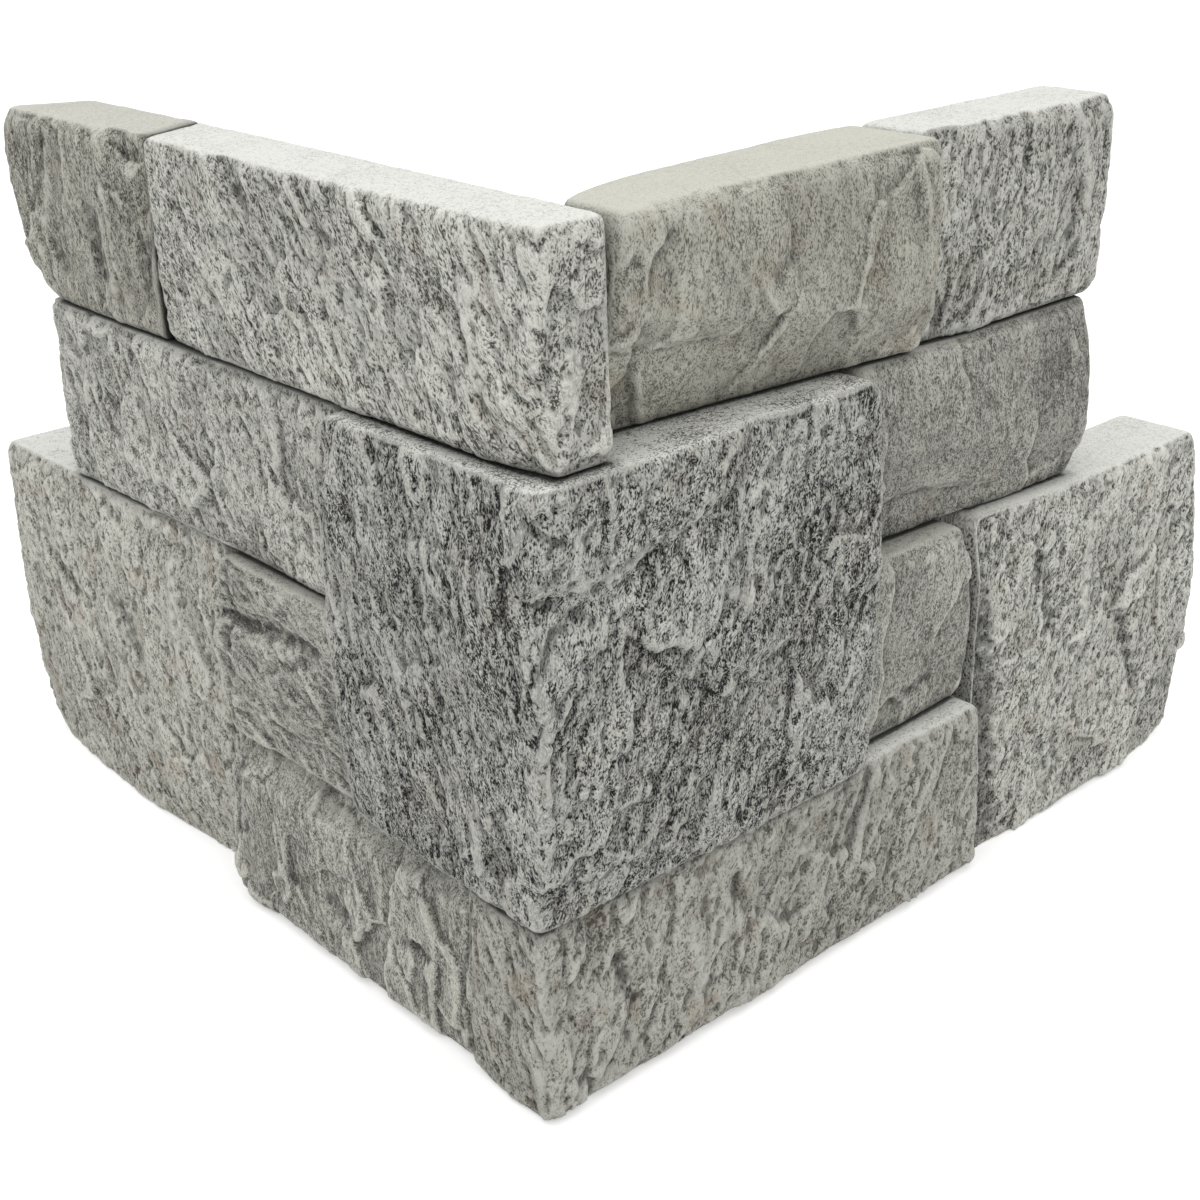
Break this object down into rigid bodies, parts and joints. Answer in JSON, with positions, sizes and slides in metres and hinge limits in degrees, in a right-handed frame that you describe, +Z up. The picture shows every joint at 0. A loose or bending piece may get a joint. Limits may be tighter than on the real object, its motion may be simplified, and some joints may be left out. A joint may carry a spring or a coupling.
{
  "type": "corner ledger stone panel",
  "caption": "Outside-corner ledger panel of tumbled gray split stones in staggered courses, two arms at right angles with flat backs that wrap a wall's corner.",
  "frame": {"origin": "foot of the building's corner that the panel wraps, where the two wall planes meet at the panel's lower bed", "axes": "+Z up; the right arm runs along +X with its back on y = 0, the left arm runs along +Y with its back on x = 0; the split faces look to -Y and -X"},
  "size_m": [0.1998, 0.2022, 0.1524],
  "materials": {
    "brown_gray_smooth_stone": "matte, smooth split",
    "pale_gray_speckled_stone": "matte, rough split",
    "warm_gray_smooth_stone": "matte, smooth split",
    "mid_gray_speckled_stone": "matte, rough split",
    "mid_gray_smooth_stone": "matte, smooth split",
    "dark_gray_speckled_stone": "matte, rough split",
    "beige_gray_speckled_stone": "matte, rough split"
  },
  "bodies": {
    "root": {"top_left_end_stone": "brown_gray_smooth_stone", "top_left_corner_stone": "pale_gray_speckled_stone", "top_right_inner_stone": "warm_gray_smooth_stone", "top_right_end_stone": "pale_gray_speckled_stone", "second_left_stone": "mid_gray_speckled_stone", "second_right_stone": "mid_gray_smooth_stone", "corner_block": "dark_gray_speckled_stone", "third_left_stone": "mid_gray_smooth_stone", "third_right_stone": "mid_gray_smooth_stone", "left_end_block": "beige_gray_speckled_stone", "right_end_block": "pale_gray_speckled_stone", "bottom_left_stone": "mid_gray_smooth_stone", "bottom_corner_stone": "beige_gray_speckled_stone"}
  },
  "joints": []
}
